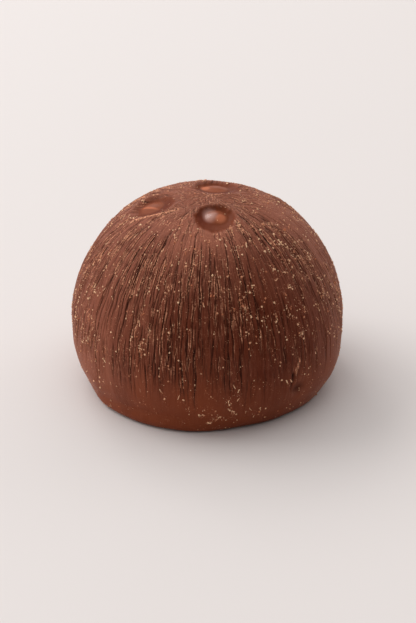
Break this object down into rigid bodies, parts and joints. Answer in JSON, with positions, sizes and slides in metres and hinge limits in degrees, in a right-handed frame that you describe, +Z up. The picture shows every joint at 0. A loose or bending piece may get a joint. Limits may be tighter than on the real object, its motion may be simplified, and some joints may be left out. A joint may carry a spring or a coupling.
{
  "type": "coconut-shaped chocolate dessert",
  "caption": "Single-portion chocolate dessert shaped like a coconut: a brushed brown dome with three sunken eyes at its crown, standing on a flat base.",
  "frame": {"origin": "middle of the flat base, on the resting plane", "axes": "+Z up out of the crown and across the shortest extent; -Y towards the single eye that faces forward; +X to its right"},
  "size_m": [0.07, 0.07, 0.0502],
  "materials": {
    "chocolate": "milk chocolate brushed with a stiff brush: satin with fine grooves, smooth and glossy in the three eyes"
  },
  "bodies": {
    "root": {"chocolate_body": "chocolate"}
  },
  "joints": []
}
